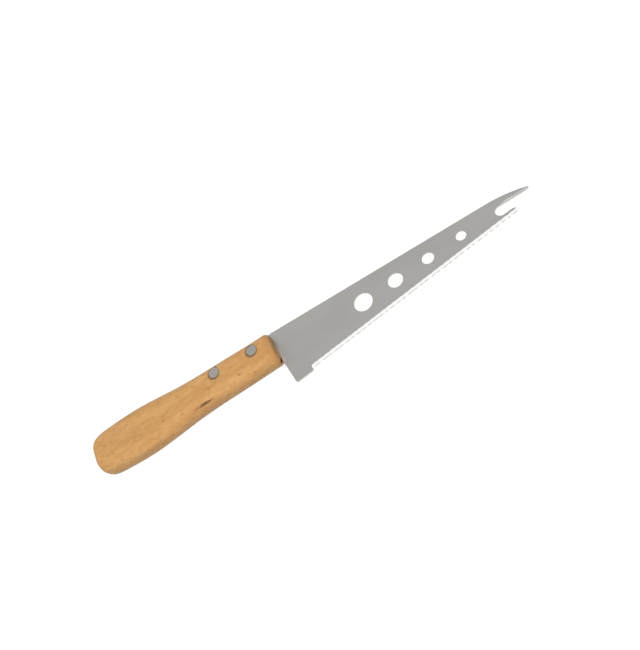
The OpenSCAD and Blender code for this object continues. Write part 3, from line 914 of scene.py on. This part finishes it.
def dress_blade(blade):
    """Gives the blade's faces, ground surfaces and cut walls their finishes, by where they lie.

    A face's tilt from level, in degrees, and its height over the edge tell the finishes apart.
    The ground surfaces reach back by run_out past their start.
    """
    finishes = {
        # The satin steel carries painted light by the handle's front
        "satin": steel("satin_steel", (0.396, 0.391, 0.372), rough=0.36, line_scale=(0.02, 9.0, 9.0),
                       depth=0.004, spread=0.03, painted_light=True),
        # The ground bevel's near-white tone is a painted highlight: the brightness it shows from facing
        # the light
        "ground": steel("ground_steel_painted_highlight", (0.95, 0.95, 0.94), rough=0.24, line_scale=(6.0, 0.3, 0.3),
                        depth=0.003, spread=0.02),
        "cut": steel("cut_steel", (0.50, 0.50, 0.49), rough=0.45, line_scale=(1.5, 1.5, 6.0),
                     depth=0.01, spread=0.05),
        "honed": steel("honed_steel", (0.42, 0.42, 0.41), rough=0.4, line_scale=(1.5, 1.5, 6.0),
                       depth=0.01, spread=0.08),
        "filed": steel("filed_steel", (0.60, 0.60, 0.59), rough=0.35, line_scale=(2.0, 0.5, 0.5),
                       depth=0.006, spread=0.05)}
    blade.data.materials.clear()
    for finish in finishes.values():
        blade.data.materials.append(finish)
    slope_from, honed_from, ground_to, wall_from, run_out = 8, 26, 42, 60, 2.5
    normals, centres = face_normals(blade.data), face_centres(blade.data)
    x, y = centres[:, 0], centres[:, 1]
    up = normals[:, 2] > 0
    tilt = np.degrees(np.arccos(np.clip(np.abs(normals[:, 2]), 0, 1)))
    over_edge = (y - edge_y(x)) * math.cos(EDGE_ANGLE)
    by_edge = (over_edge < GROUND_H) & (x > HEEL_FLAT - run_out)
    ground = (tilt > slope_from) & (tilt < ground_to) & by_edge
    wall = (tilt > wall_from) & ~ground
    honed = up & (tilt > honed_from) & (over_edge < HONE_W) & (x > HEEL_FLAT)
    filed = up & (tilt > slope_from) & (tilt < wall_from) & (x > TIP_BEVEL_X) & (over_edge > GROUND_H)
    slots = {name: i for i, name in enumerate(finishes)}
    index = np.select(
        [honed, ground, filed, wall],
        [slots["honed"], slots["ground"], slots["filed"], slots["cut"]], default=slots["satin"])
    blade.data.polygons.foreach_set("material_index", index)


def dress_rivets(halves):
    """Gives the rivets their aluminium, sanded flush with the wood, so that its scratches run along it."""
    metal = steel("ground_aluminium", (0.385, 0.362, 0.332), rough=0.42, line_scale=(0.25, 7.0, 7.0),
                  depth=0.01, spread=0.07)
    for half in halves:
        half.data.materials.append(metal)


# The table, the light and the camera

def seen_directly(tree):
    """1 for rays from the camera, in a reflection or through something clear, and 0 for the rest."""
    rays = add(tree, "ShaderNodeLightPath").outputs
    passed_on = math_node(tree, "MAXIMUM", rays["Is Glossy Ray"], rays["Is Transmission Ray"])
    return math_node(tree, "MAXIMUM", rays["Is Camera Ray"], passed_on)


def floor_material():
    """A table that looks white and, as a light on the knife's sides, is grey."""
    made, tree, shader = material("white_table")
    shader.inputs["Base Color"].default_value = (0.26, 0.26, 0.26, 1)
    shader.inputs["Roughness"].default_value = 0.9
    shader.inputs["Specular IOR Level"].default_value = 0.0
    shader.inputs["Emission Color"].default_value = (1, 1, 1, 1)
    tree.links.new(scaled(tree, seen_directly(tree), 0.90), shader.inputs["Emission Strength"])
    return made


def make_floor():
    """The table top: a square under the knife, far wider than the view."""
    half, below = 3000.0, 0.05
    corners = half * np.array([[-1, -1], [1, -1], [1, 1], [-1, 1]])
    level = np.full(4, -ORIGIN[2] - below)
    floor = new_piece("table_top", np.column_stack([corners, level]), [[0, 1, 2, 3]], smooth=False)
    floor.data.materials.append(floor_material())


def make_world():
    """A white surround: even where it is seen, and as a light stronger on the camera's side.

    Its strength as a light grows evenly with the cosine to the brightest direction, from none at
    dark_from to brightest.
    """
    brightest_way, dark_from, brightest = (0.11, -0.23, 0.97), -0.25, 0.955
    world = bpy.data.worlds.new("studio")
    bpy.context.scene.world = world
    world.use_nodes = True
    tree = world.node_tree
    sky = tree.nodes["Background"]
    sky.inputs["Color"].default_value = (1, 1, 1, 1)
    towards = add(tree, "ShaderNodeTexCoord").outputs["Generated"]
    facing = add(tree, "ShaderNodeVectorMath", {0: towards, 1: brightest_way}, operation="DOT_PRODUCT")
    light = add(tree, "ShaderNodeMapRange", {
        "Value": facing.outputs["Value"], "From Min": dark_from, "From Max": 1.0,
        "To Min": 0.0, "To Max": brightest}).outputs[0]
    strength = add(tree, "ShaderNodeMix", {0: seen_directly(tree), 2: light, 3: 1.0}, data_type="FLOAT")
    tree.links.new(strength.outputs[0], sky.inputs["Strength"])


def make_lights():
    """One big square softbox, high up on the camera's side and aimed at the knife. The steel
    mirrors the surround and not the lamp."""
    lamp = bpy.data.lights.new("overhead_softbox", "AREA")
    lamp.shape, lamp.size, lamp.energy = "SQUARE", 0.6, 4.0
    lamp.color = (1, 1, 1)
    softbox = bpy.data.objects.new("overhead_softbox", lamp)
    softbox.location = (0.20, -0.43, 0.82)
    softbox.rotation_mode = "QUATERNION"
    softbox.rotation_quaternion = (-softbox.location).to_track_quat("-Z", "Y")
    softbox.visible_glossy = False
    bpy.context.scene.collection.objects.link(softbox)


def make_camera():
    """The photograph's view: from over the cutting edge, rolled so that the knife climbs to the right."""
    image_w, focal_px, near_limit = 640, 831.6, 0.01
    eye = Vector(place((112.87, -239.62, 362.49)))
    aim = Vector(place((27.19, -11.57, 0.60)))
    roll = math.radians(-48.03)
    camera = bpy.data.cameras.new("camera")
    camera.sensor_fit = "HORIZONTAL"
    camera.lens = focal_px / image_w * camera.sensor_width
    camera.clip_start = near_limit
    holder = bpy.data.objects.new("camera", camera)
    holder.location = eye
    holder.rotation_mode = "QUATERNION"
    holder.rotation_quaternion = (aim - eye).to_track_quat("-Z", "Y") @ Quaternion((0, 0, 1), roll)
    bpy.context.scene.collection.objects.link(holder)
    bpy.context.scene.camera = holder


make_camera()
make_floor()
make_world()
make_lights()

handle = make_handle()
dress_handle(handle)
blade = make_blade()
dress_blade(blade)
rivets = make_rivets()
dress_rivets(rivets.values())

slots = {"handle": "beech", "blade": "steel", **dict.fromkeys(rivets, "rivet_metal")}
for node, piece in {"handle": handle, "blade": blade, **rivets}.items():
    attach(piece, "root")
    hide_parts(node)

bpy.context.scene.view_settings.view_transform = "Standard"
